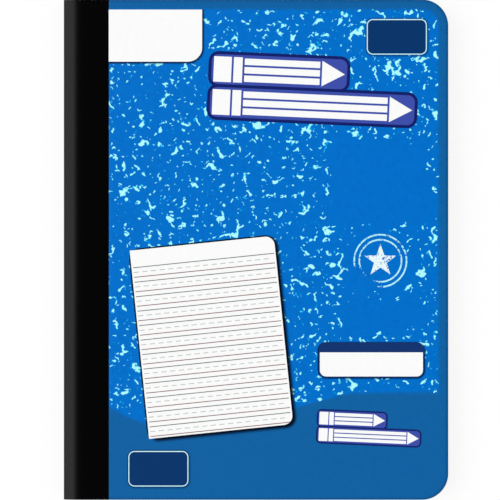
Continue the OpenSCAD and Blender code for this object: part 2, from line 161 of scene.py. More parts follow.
def place(tree, kind, inputs=None, **settings):
    """Places one shader node. Inputs are given by name or number, as a value or a socket."""
    made = tree.nodes.new("ShaderNode" + kind)
    for name, value in settings.items():
        setattr(made, name, value)
    for key, value in (inputs or {}).items():
        if isinstance(value, bpy.types.NodeSocket):
            tree.links.new(value, made.inputs[key])
        else:
            made.inputs[key].default_value = value
    return made


def maths(tree, operation, a, b=0.0, c=0.0):
    return place(tree, "Math", {0: a, 1: b, 2: c}, operation=operation).outputs[0]


def vectors(tree, operation, a, b=(0, 0, 0), **more):
    made = place(tree, "VectorMath", {0: a, 1: b, **more}, operation=operation)
    return made.outputs["Value" if operation in ("LENGTH", "DOT_PRODUCT") else "Vector"]


def ease(tree, value, low, high, to_low=0.0, to_high=1.0):
    """Smooth step of a value from low to high."""
    return place(tree, "MapRange", {"Value": value, "From Min": low, "From Max": high,
                                    "To Min": to_low, "To Max": to_high},
                 interpolation_type="SMOOTHSTEP").outputs["Result"]


def blend_colour(tree, factor, a, b, mode="MIX"):
    return place(tree, "Mix", {0: factor, 6: a, 7: b}, data_type="RGBA",
                 blend_type=mode).outputs[2]


def noise(tree, point, scale, detail=2.0, roughness=0.5, distortion=0.0, output=0):
    return place(tree, "TexNoise", {"Vector": point, "Scale": scale, "Detail": detail,
                                    "Roughness": roughness,
                                    "Distortion": distortion}).outputs[output]


def start_group(name, inputs, outputs):
    """New node group with named inputs and outputs. Returns the group and its two end nodes."""
    group = bpy.data.node_groups.new(name, "ShaderNodeTree")
    for label, kind, value in inputs:
        socket = group.interface.new_socket(name=label, in_out="INPUT",
                                            socket_type="NodeSocket" + kind)
        if value is not None:
            socket.default_value = value
    for label, kind in outputs:
        group.interface.new_socket(name=label, in_out="OUTPUT", socket_type="NodeSocket" + kind)
    return group, group.nodes.new("NodeGroupInput").outputs, group.nodes.new("NodeGroupOutput").inputs


def use_group(tree, group, **inputs):
    made = place(tree, "Group", node_tree=group)
    for key, value in inputs.items():
        socket = made.inputs[key.replace("_", " ").capitalize()]
        if isinstance(value, bpy.types.NodeSocket):
            tree.links.new(value, socket)
        else:
            socket.default_value = value
    return made.outputs


def start_material(name, **shader):
    """New material. Returns it with its node tree and its shader, whose sockets take the values."""
    material = bpy.data.materials.new(name)
    material.use_nodes = True
    tree = material.node_tree
    surface = tree.nodes["Principled BSDF"]
    for key, value in shader.items():
        surface.inputs[key.replace("_", " ").title().replace("Ior", "IOR")].default_value = value
    return material, tree, surface


def millimetres(tree):
    """Place on the piece in millimetres."""
    here = place(tree, "TexCoord").outputs["Object"]
    return vectors(tree, "SCALE", here, Scale=1000)


def swing(tree, point, scale, reach):
    """Noise that swings round zero, by about half its reach to either side."""
    return maths(tree, "MULTIPLY", maths(tree, "SUBTRACT", noise(tree, point, scale), 0.5), reach)


def paint(tree, surface, colour, tone):
    """Gives a shader its colour, made a little lighter and darker by a tone round 1."""
    tree.links.new(blend_colour(tree, 1.0, colour, tone, "MULTIPLY"), surface.inputs["Base Color"])


def emboss(tree, surface, height, strength, depth):
    """Gives a shader a fine relief, with its depth in metres."""
    bump = place(tree, "Bump", {"Height": height, "Strength": strength, "Distance": depth})
    tree.links.new(bump.outputs[0], surface.inputs["Normal"])


# Fibres and specks that any of the book's papers shows close up, as a value round 1 and a height
paper_grain, grain_in, grain_out = start_group(
    "Paper grain", [("Point", "Vector", None), ("Size", "Float", 0.5), ("Depth", "Float", 0.03)],
    [("Tone", "Float"), ("Height", "Float")])
grain_point = vectors(paper_grain, "DIVIDE", grain_in["Point"],
                      place(paper_grain, "CombineXYZ", {0: grain_in["Size"], 1: grain_in["Size"],
                                                        2: grain_in["Size"]}).outputs[0])
fibre = noise(paper_grain, grain_point, 1.0, 6, 0.65, 0.6)
cloud = noise(paper_grain, grain_point, 0.06, 3, 0.5)
both = maths(paper_grain, "ADD", maths(paper_grain, "MULTIPLY", fibre, 0.6),
             maths(paper_grain, "MULTIPLY", cloud, 0.4))
paper_grain.links.new(
    maths(paper_grain, "ADD", 1.0, maths(paper_grain, "MULTIPLY", grain_in["Depth"],
          maths(paper_grain, "MULTIPLY", maths(paper_grain, "SUBTRACT", both, 0.5), 2.0))),
    grain_out["Tone"])
paper_grain.links.new(fibre, grain_out["Height"])

# Writing lines of the ruled leaves, in millimetres: a solid line, a dashed one and a red base line
# in each group, and a bare margin at the head
group_pitch = 19.0
dashed_offset = 6.33
base_offset = 12.67
rule_w = 0.3
dash_reach = 2.4
head_margin_y = 104.0
leaf_ruling, ruling_in, ruling_out = start_group(
    "Leaf ruling", [("Point", "Vector", None), ("Pitch", "Float", group_pitch),
                    ("Width", "Float", rule_w)], [("Blue", "Float"), ("Red", "Float")])
ruling_xyz = place(leaf_ruling, "SeparateXYZ", {0: ruling_in["Point"]}).outputs


def ruled_line(offset):
    """One line in each group, at that distance below the group's first."""
    step = maths(leaf_ruling, "PINGPONG", maths(leaf_ruling, "ADD", ruling_xyz["Y"], offset),
                 maths(leaf_ruling, "DIVIDE", ruling_in["Pitch"], 2.0))
    near = maths(leaf_ruling, "DIVIDE", step, ruling_in["Width"])
    return ease(leaf_ruling, near, 0.7, 0.4)


dashes = ease(leaf_ruling, maths(leaf_ruling, "PINGPONG", ruling_xyz["X"], dash_reach), 1.1, 1.3)
inside_head = ease(leaf_ruling, ruling_xyz["Y"], head_margin_y, head_margin_y - 0.1)
blue_lines = maths(leaf_ruling, "MAXIMUM", ruled_line(0.0),
                   maths(leaf_ruling, "MULTIPLY", dashes, ruled_line(dashed_offset)))
leaf_ruling.links.new(maths(leaf_ruling, "MULTIPLY", blue_lines, inside_head), ruling_out["Blue"])
leaf_ruling.links.new(maths(leaf_ruling, "MULTIPLY", ruled_line(base_offset), inside_head),
                      ruling_out["Red"])

leaf_paper, tree, surface = start_material("leaf_paper", Roughness=0.72, Specular_ior_level=0.25)
here = millimetres(tree)
xyz = place(tree, "SeparateXYZ", {0: here}).outputs
facing = place(tree, "SeparateXYZ", {0: place(tree, "NewGeometry").outputs["Normal"]}).outputs["Z"]
grain = use_group(tree, paper_grain, point=here, size=0.35, depth=0.05)
rules = use_group(tree, leaf_ruling, point=here)
# Painted shade on the cut edges: each leaf's edge gets a darker or lighter shade of its own, as if the
# leaves lay a little unevenly, and the cut drags the edge's tone into short streaks
leaf_number = maths(tree, "FLOOR", maths(tree, "DIVIDE", xyz["Z"], 1000 * leaf_pitch))
leaf_painted_shade = place(tree, "TexWhiteNoise", {"W": leaf_number}, noise_dimensions="1D").outputs["Value"]
streaks = noise(tree, vectors(tree, "MULTIPLY", here, (0.12, 0.12, 9.0)), 1.0, 3, 0.6)
bundles = noise(tree, vectors(tree, "MULTIPLY", here, (0.03, 0.03, 2.6)), 1.0, 4, 0.65)
edge_tone_and_shade = maths(tree, "ADD", maths(tree, "MULTIPLY", leaf_painted_shade, 0.10),
                  maths(tree, "ADD", maths(tree, "MULTIPLY", streaks, 0.16),
                        ease(tree, bundles, 0.42, 0.62, 0.0, 0.3)))
flat = ease(tree, maths(tree, "ABSOLUTE", facing), 0.85, 0.97)
paper = blend_colour(tree, maths(tree, "MULTIPLY", edge_tone_and_shade, maths(tree, "SUBTRACT", 1.0, flat)),
                     srgb(246, 243, 234), srgb(150, 142, 122))
rule_colours = [("Blue", 0.62, srgb(96, 140, 186)), ("Red", 0.6, srgb(214, 92, 112))]
for rule, strength, rule_colour in rule_colours:
    inked = maths(tree, "MULTIPLY", maths(tree, "MULTIPLY", rules[rule], flat), strength)
    paper = blend_colour(tree, inked, paper, rule_colour)
paint(tree, surface, paper, grain["Tone"])
emboss(tree, surface, grain["Height"], 0.12, 0.00002)
pages.data.materials.append(leaf_paper)
close_piece(pages, "pages", "leaf_paper", "page_block")


# Sewing threads: white cotton, twisted from fine plies. The needle thread runs outside the fold
# and the bobbin thread inside it, and they lock half way through the fold at each stitch.

sewing_cotton, tree, surface = start_material("sewing_thread", Roughness=0.8,
                                              Specular_ior_level=0.2, Sheen_weight=0.2)
here = millimetres(tree)
plies = place(tree, "TexWave", {"Vector": vectors(tree, "MULTIPLY", here, (2.2, 1.5, 2.2)),
                                "Scale": 1.0, "Distortion": 0.8, "Detail": 2.0},
              bands_direction="DIAGONAL").outputs["Fac"]
# Painted shade: the grooves between the plies are darker, on the same wave as the relief
tree.links.new(blend_colour(tree, plies, srgb(196, 192, 182), srgb(244, 242, 236)),
               surface.inputs["Base Color"])
emboss(tree, surface, plies, 0.5, 0.00005)


def dress(names, material):
    """Gives CAD nodes whose form is right their finish."""
    for name in names:
        cad_nodes[name].data.materials.clear()
        cad_nodes[name].data.materials.append(material)


dress(["needle_thread", "bobbin_thread"], sewing_cotton)


# Covers: grey pasteboard, faced outside with a printed and varnished paper and inside with plain
# white paper, then cut to shape through all layers. The outside sinks towards the hinge, and the
# cutter presses the outside's edge down a little.

hinge_x, _, board_in_z = cover_low
board_corner_steps = 16
# The cloth's cut edge, the bed that it is pressed into and the width of the bed's edge
cloth_x = round(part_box("front_cloth_flap")[1].x, 5)
tape_bed = 0.00022
bed_edge = 0.0001
# The slope towards the hinge: where it starts, how far it sinks and its cuts
crown_w = 0.01
crown_x = crown_w - fore_x
hinge_sink = 0.0005
crown_cuts = 5
# Width of each step of the pressed rim from the outline inwards, and how deep its outer line lies
rim_steps = [(0.0004, 0.00015), (0.0005, 0.00007), (0.0007, 0.00002)]
# How near a point has to be to one of the rim's lines or to a face to be picked with it
rim_touch = 0.00008
face_reach = 0.0001


def cubic(t, *points):
    """Point of the cubic curve of four points, at t from 0 to 1."""
    weights = ((1 - t) ** 3, 3 * (1 - t) ** 2 * t, 3 * (1 - t) * t * t, t ** 3)
    return tuple(sum(w * p[i] for w, p in zip(weights, points)) for i in (0, 1))


def crown_depth(x):
    """How far the outside lies under the flat of the cover at that place on X."""
    return hinge_sink * (max(0, crown_x - x) / (crown_x - hinge_x)) ** 3


def make_board(name):
    """One cover, modelled as the front one. It stays in edit mode."""
    board = new_piece(name, bpy.ops.mesh.primitive_cube_add, size=1)
    thick = book_top_z - board_in_z
    middle_z = board_in_z + thick / 2
    bpy.ops.transform.resize(value=(fore_x - hinge_x, 2 * head_y, thick),
                             center_override=(0, 0, 0))
    bpy.ops.transform.translate(value=((fore_x + hinge_x) / 2, 0, middle_z))
    pick(board, "edges", lambda p: p.x > fore_x - corner_reach
         and abs(p.y) > head_y - corner_reach and abs(p.z - middle_z) < face_reach)
    bpy.ops.mesh.bevel(offset=corner_r, segments=board_corner_steps, affect="EDGES")
    crown_step = (crown_x - hinge_x) / crown_cuts
    cuts = [cloth_x, cloth_x - bed_edge] + [crown_x - crown_step * k for k in range(crown_cuts)]
    for x in cuts:
        bpy.ops.mesh.select_all(action="SELECT")
        bpy.ops.mesh.bisect(plane_co=(x, 0, 0), plane_no=(1, 0, 0))
    # The pressed rim round the printed part
    pick(board, "faces", lambda p: p.z > book_top_z - face_reach and p.x > cloth_x)
    for width, _ in rim_steps:
        bpy.ops.mesh.inset(thickness=width, depth=0)

    def rim_distance(p):
        """Distance of a point on the outside from the cover's outline."""
        dx = fore_x - p.x
        dy = head_y - abs(p.y)
        if dx < corner_r and dy < corner_r:
            return corner_r - math.hypot(corner_r - dx, corner_r - dy)
        return min(dx, dy)

    reach = 0
    for width, drop in rim_steps:
        pick(board, "verts", lambda p: p.z > book_top_z - touch and p.x > cloth_x - touch
             and abs(rim_distance(p) - reach) < rim_touch)
        bpy.ops.transform.translate(value=(0, 0, -drop))
        reach += width
    # The bed for the cloth and the slope towards the hinge
    for x in cuts[1:] + [hinge_x]:
        pick(board, "verts", lambda p: p.z > book_top_z - touch and abs(p.x - x) < touch)
        bpy.ops.transform.translate(value=(0, 0, -tape_bed - crown_depth(x)))
    bpy.ops.mesh.select_all(action="SELECT")
    bpy.ops.mesh.normals_make_consistent(inside=False)
    return board


def face_board(board, printed, outside):
    """Puts print, raw board and lining on a cover's faces. Outside is +1 or -1 along Z."""
    for material in (printed, board_core, board_lining):
        board.data.materials.append(material)
    for face in board.data.polygons:
        up = face.normal.z * outside
        face.material_index = 0 if up > 0.5 else 2 if up < -0.5 else 1


# Signed distance in millimetres from the edge of a tilted panel with round corners
panel_distance, panel_in, panel_out = start_group(
    "Panel distance", [("Point", "Vector", None), ("Centre", "Vector", (0, 0, 0)),
                       ("Half size", "Vector", (1, 1, 0)), ("Corner", "Float", 1.0),
                       ("Tilt", "Float", 0.0)], [("Distance", "Float")])
turned = place(panel_distance, "VectorRotate",
               {"Vector": panel_in["Point"], "Center": panel_in["Centre"],
                "Angle": maths(panel_distance, "MULTIPLY", panel_in["Tilt"], -1.0)},
               rotation_type="Z_AXIS").outputs[0]
past_core = vectors(panel_distance, "SUBTRACT",
                    vectors(panel_distance, "ABSOLUTE",
                            vectors(panel_distance, "SUBTRACT", turned, panel_in["Centre"])),
                    panel_in["Half size"])
core = place(panel_distance, "SeparateXYZ", {0: past_core}).outputs
core_x = maths(panel_distance, "ADD", core["X"], panel_in["Corner"])
core_y = maths(panel_distance, "ADD", core["Y"], panel_in["Corner"])
outer = vectors(panel_distance, "LENGTH", place(panel_distance, "CombineXYZ", {
    0: maths(panel_distance, "MAXIMUM", core_x, 0.0),
    1: maths(panel_distance, "MAXIMUM", core_y, 0.0)}).outputs[0])
inner = maths(panel_distance, "MINIMUM", maths(panel_distance, "MAXIMUM", core_x, core_y), 0.0)
panel_distance.links.new(
    maths(panel_distance, "SUBTRACT", maths(panel_distance, "ADD", outer, inner),
          panel_in["Corner"]), panel_out["Distance"])

# Marbling: pale curled strokes that swell and taper, with small crumbs of colour between them.
# One in "Calm" clears the ground of them.
marbling, marble_in, marble_out = start_group(
    "Marbling", [("Point", "Vector", None), ("Calm", "Float", 0.0)],
    [("Fleck", "Float"), ("Halo", "Float")])
flat_point = vectors(marbling, "MULTIPLY", marble_in["Point"], (1, 1, 0))
calm_step = maths(marbling, "MULTIPLY", marble_in["Calm"], 0.25)


def stroke_field(offset, size, reach):
    """Below zero inside strokes that follow one noise's middle line where another is high."""
    moved = vectors(marbling, "ADD", flat_point, offset)
    stir = vectors(marbling, "SUBTRACT", noise(marbling, moved, 0.45 / size, 1, 0.5, 0.0, 1),
                   (0.5, 0.5, 0.5))
    stirred = vectors(marbling, "ADD", moved, vectors(marbling, "SCALE", stir, Scale=2.6 * size))
    middle_line = maths(marbling, "ABSOLUTE", maths(
        marbling, "SUBTRACT", noise(marbling, stirred, 0.22 / size, 0.5, 0.4), 0.5))
    swell = maths(marbling, "SUBTRACT", noise(marbling, vectors(
        marbling, "ADD", moved, (41, 67, 3)), 0.27 / size, 1.5, 0.5), calm_step)
    width = maths(marbling, "MINIMUM", 0.042, maths(
        marbling, "MULTIPLY", maths(marbling, "SUBTRACT", swell, reach), 1.15))
    beads = maths(marbling, "MULTIPLY_ADD", noise(marbling, moved, 0.75 / size, 1, 0.5), 1.3, 0.35)
    return maths(marbling, "SUBTRACT", middle_line, maths(marbling, "MULTIPLY", width, beads))


strokes = stroke_field((0, 0, 0), 1.3, 0.575)
crumbs = stroke_field((130, 57, 0), 0.65, 0.62)
marbling.links.new(maths(marbling, "MAXIMUM", ease(marbling, strokes, 0.008, -0.010),
                         ease(marbling, crumbs, 0.010, -0.018)), marble_out["Fleck"])
marbling.links.new(maths(marbling, "MAXIMUM", ease(marbling, strokes, 0.030, 0.004),
                         ease(marbling, crumbs, 0.034, 0.006)), marble_out["Halo"])

main_blue = srgb(0, 114, 207)
shade_blue = srgb(0, 86, 164)
band_blue = srgb(18, 99, 163)
# Painted shade at the cover's cut edge
edge_shade_blue = srgb(2, 66, 116)
edge_navy = srgb(0, 36, 84)
sheet_black = srgb(0, 8, 30)
pale_fleck = srgb(180, 254, 255)
fleck_halo = srgb(20, 206, 254)

# Top edge of the lower dark band, in millimetres: it hangs from the cloth and then runs level
band_curve = [(1000 * cloth_x, -77.2), (-42, -98.5), (-10, -85), (46, -71.2)]
band_steps = 12
band_points = [cubic(k / band_steps, *band_curve) for k in range(band_steps + 1)]
band_points += [(52, -70.8), (1000 * fore_x, -70.8)]
# The shader's curve runs from 0 to 1, which stands for this stretch of Y
band_base, band_span = -90.0, 30.0
# Half width of the soft edge of the band and of the border
band_soft, border_soft = 1.3, 1.2
# The cover and its panels: middle, half size, corner radius and tilt, in millimetres
cover_panel = ((0, 0), (1000 * fore_x, 1000 * head_y), 1000 * corner_r, 0)
field_panel = ((0, 0), (90.2, 118.7), 8, 0)
tab_panel = ((-53.5, 110), (27, 17.2), 7, 0)
upper_badge = ((69.6, 105.05), (14.8, 8.75), 3, 0)
lower_badge = ((-48.1, -108.15), (14.8, 8.75), 3, 0)
name_panel = ((56.9, -54.5), (25.8, 8.3), 3.6, 0)
sheet_panel = ((-21.9, -43.3), (35.75, 46.7), 4.5, 5.9)
# Plain ground that the marbling leaves free beside them and round the stamp
stamp_x, stamp_y, stamp_r = 61.5, -5.5, 14.5
calm_panels = [((60.8, 33.2), (22, 19), 6, 0), ((60.6, -32.3), (19.5, 5.5), 4, 0),
               ((stamp_x, stamp_y), (stamp_r, stamp_r), stamp_r, 0)]
# How far the shadows of the panels and of the sheet fall to the right and down
panel_fall = (0.3, -0.3)
sheet_fall = (1.0, -0.7)
# Distances outside an edge at which each of these has faded out and at which it is full
panel_keyline, panel_shade = (0.85, 0.45), (1.3, 0.1)
sheet_keyline, sheet_shade = (1.0, 0.5), (2.0, -0.2)
calm_fade = (4.0, -1.0)
# Reach of the painted shade inside the cover's cut edge
edge_shade_reach = (-1.9, -0.2)
# The tab runs up to the dark border, and no keyline is drawn past its end
tab_top = 118.5


def from_panel(tree, point, panel, shift=(0, 0)):
    """Distance from the edge of a panel in the print, with the panel shifted."""
    (x, y), (half_w, half_h), corner, tilt = panel
    return use_group(tree, panel_distance, point=point, centre=(x + shift[0], y + shift[1], 0),
                     half_size=(half_w, half_h, 0), corner=corner,
                     tilt=math.radians(tilt))["Distance"]


def sheet_dark(tree, point):
    """Darkness of the printed sheet's outline and of its shadow, which runs out to the right."""
    outline = ease(tree, from_panel(tree, point, sheet_panel), *sheet_keyline)
    soft = ease(tree, from_panel(tree, point, sheet_panel, sheet_fall), *sheet_shade)
    return maths(tree, "MAXIMUM", outline, soft)


def cover_print(name, panels, calm_spots):
    """Varnished blue print with its dark border, lower band and marbling."""
    material, tree, surface = start_material(name, Roughness=0.28, Specular_ior_level=0.1)
    here = millimetres(tree)
    xyz = place(tree, "SeparateXYZ", {0: here}).outputs
    left, right = band_points[0][0], band_points[-1][0]
    along = place(tree, "MapRange", {"Value": xyz["X"], "From Min": left, "From Max": right})
    curve = place(tree, "FloatCurve", {"Value": along.outputs["Result"]})
    spots = [((x - left) / (right - left), (y - band_base) / band_span) for x, y in band_points]
    points = curve.mapping.curves[0].points
    points[0].location = spots[0]
    points[-1].location = spots[-1]
    for spot in spots[1:-1]:
        points.new(*spot)
    curve.mapping.update()
    band_top = maths(tree, "MULTIPLY_ADD", curve.outputs[0], band_span, band_base)
    wander = swing(tree, here, 0.35, 2.0)
    in_band = ease(tree, maths(tree, "ADD", maths(tree, "SUBTRACT", xyz["Y"], band_top), wander),
                   band_soft, -band_soft)
    in_border = ease(tree, maths(tree, "ADD", from_panel(tree, here, field_panel), wander),
                     -border_soft, border_soft)
    dark = maths(tree, "MAXIMUM", in_band, in_border)
    mottle = noise(tree, here, 0.4, 4, 0.6)
    ground = blend_colour(tree, dark, main_blue, band_blue)
    ground = blend_colour(tree, ease(tree, mottle, 0.35, 0.75, 0, 0.22), ground, shade_blue)
    # Painted shade: the dark border deepens towards the cut edge, where the pressed rim turns away
    # from the light
    from_edge = from_panel(tree, here, cover_panel)
    ground = blend_colour(tree, ease(tree, from_edge, *edge_shade_reach, 0, 0.55), ground, edge_shade_blue)
    # The edge of the calm ground wanders, as if the marbling had stopped there by itself
    drift = swing(tree, here, 0.11, 26.0)
    calm = dark
    for panel in calm_spots:
        off_calm = maths(tree, "ADD", from_panel(tree, here, panel), drift)
        calm = maths(tree, "MAXIMUM", calm, ease(tree, off_calm, *calm_fade))
    flecks = use_group(tree, marbling, point=here, calm=calm)
    ground = blend_colour(tree, maths(tree, "MULTIPLY", flecks["Halo"], 0.8), ground, fleck_halo)
    ground = blend_colour(tree, flecks["Fleck"], ground, pale_fleck)
    # Each panel has a keyline, and its shadow falls to the right and down over the marbling
    for panel, strength in panels:
        keyline = ease(tree, from_panel(tree, here, panel), *panel_keyline, 0, strength)
        shadow = ease(tree, from_panel(tree, here, panel, panel_fall), *panel_shade, 0, strength)
        below_head = maths(tree, "LESS_THAN", xyz["Y"], tab_top)
        ground = blend_colour(tree, maths(tree, "MULTIPLY", maths(tree, "MAXIMUM", keyline, shadow),
                                          below_head), ground, edge_navy)
    if panels:
        ground = blend_colour(tree, sheet_dark(tree, here), ground, sheet_black)
    grain = use_group(tree, paper_grain, point=here, size=0.4, depth=0.06)
    paint(tree, surface, ground, grain["Tone"])
    tree.links.new(maths(tree, "MULTIPLY_ADD", grain["Height"], 0.10, 0.24),
                   surface.inputs["Roughness"])
    emboss(tree, surface, grain["Height"], 0.12, 0.00002)
    return material


board_core, tree, surface = start_material("board_core", Roughness=0.9, Specular_ior_level=0.15)
here = millimetres(tree)
plies = noise(tree, vectors(tree, "MULTIPLY", here, (0.5, 0.5, 7.0)), 1.0, 5, 0.7, 0.4)
layers = place(tree, "SeparateXYZ", {0: here}).outputs["Z"]
core_colour = blend_colour(tree, ease(tree, plies, 0.3, 0.7), srgb(118, 110, 98),
                           srgb(176, 167, 150))
# The facing papers show as thin lines at both faces of either cover: where the board under each
# of them ends, in millimetres from the middle of the book
print_from, lining_to = 5.15, 4.41
from_middle = maths(tree, "ABSOLUTE", maths(tree, "SUBTRACT", layers, 1000 * mid_z))
core_colour = blend_colour(tree, ease(tree, from_middle, print_from - 0.02, print_from + 0.02),
                           core_colour, srgb(6, 60, 112))
core_colour = blend_colour(tree, ease(tree, from_middle, lining_to + 0.01, lining_to - 0.01),
                           core_colour, srgb(236, 234, 226))
tree.links.new(core_colour, surface.inputs["Base Color"])
emboss(tree, surface, plies, 0.6, 0.00008)

board_lining, tree, surface = start_material("board_lining", Roughness=0.7,
                                             Specular_ior_level=0.25)
here = millimetres(tree)
grain = use_group(tree, paper_grain, point=here, size=0.6, depth=0.07)
paint(tree, surface, srgb(238, 237, 231), grain["Tone"])
emboss(tree, surface, grain["Height"], 0.2, 0.00003)

front_print = cover_print("front_print", [(tab_panel, 1), (upper_badge, 0.6), (lower_badge, 0.6),
                                          (name_panel, 1)], calm_panels)
front_board = make_board("front_board_printed")
bpy.ops.object.mode_set(mode="OBJECT")
face_board(front_board, front_print, 1)
close_piece(front_board, "front_board", "blue_cover", "front_cover", "border_band", "marble_flecks")

# The back cover is the same board turned over, with the print alone and no panels
back_print = cover_print("back_print", [], [])
back_board = make_board("back_board_printed")
bpy.ops.mesh.select_all(action="SELECT")
bpy.ops.transform.mirror(constraint_axis=(False, False, True), center_override=(0, 0, mid_z))
bpy.ops.mesh.normals_make_consistent(inside=False)
bpy.ops.object.mode_set(mode="OBJECT")
face_board(back_board, back_print, -1)
close_piece(back_board, "back_board", "blue_cover", "back_cover")


# Printed panels of the front cover: flat inks on the cover's paper, each a film of its own. The
# tab, the small panels, the name panel and the ruled sheet are bare paper or solid ink.

# Solid ink as it lies on the paper: small voids, a slightly uneven tone and a soft height
ink_lay, ink_in, ink_out = start_group(
    "Ink lay", [("Point", "Vector", None), ("Voids", "Float", 0.2)],
    [("Tone", "Float"), ("Void", "Float"), ("Height", "Float")])
ink_fine = noise(ink_lay, ink_in["Point"], 3.2, 4, 0.7)
ink_wide = noise(ink_lay, ink_in["Point"], 0.35, 3, 0.55)
ink_lay.links.new(maths(ink_lay, "ADD", 0.94, maths(
    ink_lay, "ADD", maths(ink_lay, "MULTIPLY", ink_fine, 0.06),
    maths(ink_lay, "MULTIPLY", ink_wide, 0.06))), ink_out["Tone"])
ink_lay.links.new(maths(ink_lay, "MULTIPLY", ease(ink_lay, ink_fine, 0.66, 0.74),
                        ink_in["Voids"]), ink_out["Void"])
ink_lay.links.new(ink_fine, ink_out["Height"])


def flat_ink(name, colour, void_colour, voids=0.2):
    """One printed ink with its uneven lay."""
    material, tree, surface = start_material(name, Specular_ior_level=0.15, Roughness=0.28)
    here = millimetres(tree)
    lay = use_group(tree, ink_lay, point=here, voids=voids)
    paint(tree, surface, blend_colour(tree, lay["Void"], colour, void_colour), lay["Tone"])
    emboss(tree, surface, lay["Height"], 0.1, 0.00001)
    return material, tree, surface


badge_navy = srgb(6, 54, 108)
panel_white = flat_ink("panel_white", srgb(253, 254, 253), srgb(236, 240, 244))[0]
navy_ink = flat_ink("navy_ink", badge_navy, srgb(24, 76, 136))[0]
header_ink = flat_ink("header_ink", srgb(19, 53, 112), srgb(38, 78, 142))[0]
deep_navy_ink = flat_ink("deep_navy_ink", srgb(18, 32, 104), srgb(40, 60, 140))[0]
violet_ink = flat_ink("violet_ink", srgb(62, 80, 172), srgb(92, 110, 196))[0]
# The film of the small panels' line is wider than the line, so its inner part is navy
line_white, tree, surface = flat_ink("line_white", srgb(212, 251, 255), srgb(170, 218, 246))
here = millimetres(tree)
in_badge = maths(tree, "MINIMUM", from_panel(tree, here, upper_badge),
                 from_panel(tree, here, lower_badge))
line_colour = surface.inputs["Base Color"].links[0].from_socket
tree.links.new(blend_colour(tree, ease(tree, in_badge, -0.4, -0.5), line_colour, badge_navy),
               surface.inputs["Base Color"])
dress(["head_tab", "name_box", "ruled_sheet", "plate_pencils"], panel_white)
dress(["badge_lines"], line_white)
dress(["badge_fields"], navy_ink)
dress(["name_header"], header_ink)
dress(["plate_rims"], deep_navy_ink)
dress(["plate_fields"], violet_ink)

# The stamp is drawn as if pressed by hand: its white is worn through to the blue in places, and
# the ink is thinner in its rings
stamp_white, tree, surface = flat_ink("stamp_white", srgb(226, 250, 255), srgb(180, 226, 250))
here = millimetres(tree)
across = vectors(tree, "SUBTRACT", here, (stamp_x, stamp_y, 0))
lower_left = ease(tree, vectors(tree, "DOT_PRODUCT", across, (-0.6, -0.8, 0)), 6.0, 14.0, 0.0, 0.22)
worn = maths(tree, "ADD", noise(tree, here, 0.9, 4, 0.7), maths(
    tree, "ADD", lower_left, maths(tree, "MULTIPLY", noise(tree, here, 0.12, 1), 0.35)))
from_star = vectors(tree, "LENGTH", vectors(tree, "MULTIPLY", across, (1, 1, 0)))
stamped = blend_colour(tree, ease(tree, from_star, 8.5, 9.5), srgb(236, 252, 254), srgb(186, 246, 255))
tree.links.new(blend_colour(tree, ease(tree, worn, 0.72, 0.76), stamped, main_blue),
               surface.inputs["Base Color"])
dress(["stamp_rings", "stamp_star"], stamp_white)

# The sheet's shadow is black at the sheet and runs out into the blue
sheet_shadow, tree, surface = start_material("sheet_shadow", Roughness=0.28,
                                             Specular_ior_level=0.15)
here = millimetres(tree)
lay = use_group(tree, ink_lay, point=here)
fade = blend_colour(tree, sheet_dark(tree, here), main_blue, sheet_black)
paint(tree, surface, fade, lay["Tone"])
dress(["sheet_shade"], sheet_shadow)

# The dashed line between a solid line and its base line is printed lighter. In millimetres: from
# group to group, from a solid line down to the dashed one, and the first line over the middle
ruling_pitch = 7.18
dashed_drop = 2.375
first_ruling = 38.1
rule_ink, tree, surface = flat_ink("rule_ink", srgb(84, 88, 94), srgb(176, 192, 200), 0.5)
(sheet_x, sheet_y), _, _, sheet_tilt = sheet_panel
straight = place(tree, "VectorRotate",
                 {"Vector": millimetres(tree), "Center": (sheet_x, sheet_y, 0),
                  "Angle": -math.radians(sheet_tilt)}, rotation_type="Z_AXIS").outputs[0]
down = maths(tree, "SUBTRACT", sheet_y + first_ruling - dashed_drop,
             place(tree, "SeparateXYZ", {0: straight}).outputs["Y"])
off_dash = maths(tree, "PINGPONG", down, ruling_pitch / 2)
solid_line = surface.inputs["Base Color"].links[0].from_socket
tree.links.new(blend_colour(tree, ease(tree, off_dash, 0.9, 0.6), solid_line, srgb(186, 190, 194)),
               surface.inputs["Base Color"])
base_ink = flat_ink("base_ink", srgb(122, 60, 74), srgb(226, 170, 180), 0.5)[0]
dress(["sheet_rulings"], rule_ink)
dress(["sheet_baselines"], base_ink)


# Cloth strip: one strip of black book cloth, glued round the fold and onto both covers. It is made as
# two halves, each running from its cut edge on a cover round to the middle of the spine.

cloth_t = 0.00022
cloth_lift = 0.00005
first_strip = 0.001
crown_steps = 10
shoulder_steps = 24
# Shoulder between the slope beside the hinge and the upright middle of the spine
shoulder = [(-0.0939, 0.0096), (-fore_x, 0.0092), (-fore_x, 0.0074)]


def cloth_profile(lift):
    """Points of the strip's outside in X and Z, from its cut edge on the cover to mid spine."""
    top = book_top_z + lift
    line = [(cloth_x, top), (cloth_x - first_strip, top), (crown_x, top)]
    for k in range(1, crown_steps + 1):
        x = crown_x + (hinge_x - crown_x) * k / crown_steps
        line.append((x, top - crown_depth(x)))
    crown_end = line[-1]
    for k in range(1, shoulder_steps + 1):
        line.append(cubic(k / shoulder_steps, crown_end, *shoulder))
    line.append((-fore_x, mid_z))
    return line


black_cloth, tree, surface = start_material("black_cloth", Roughness=0.2, Specular_ior_level=0.15)
here = millimetres(tree)
cloth_along = place(tree, "Attribute", attribute_name="round_spine").outputs["Fac"]
cloth_y = place(tree, "SeparateXYZ", {0: here}).outputs["Y"]
weave_point = place(tree, "CombineXYZ", {0: maths(tree, "MULTIPLY", cloth_along, 1000.0),
                                         1: cloth_y}).outputs[0]
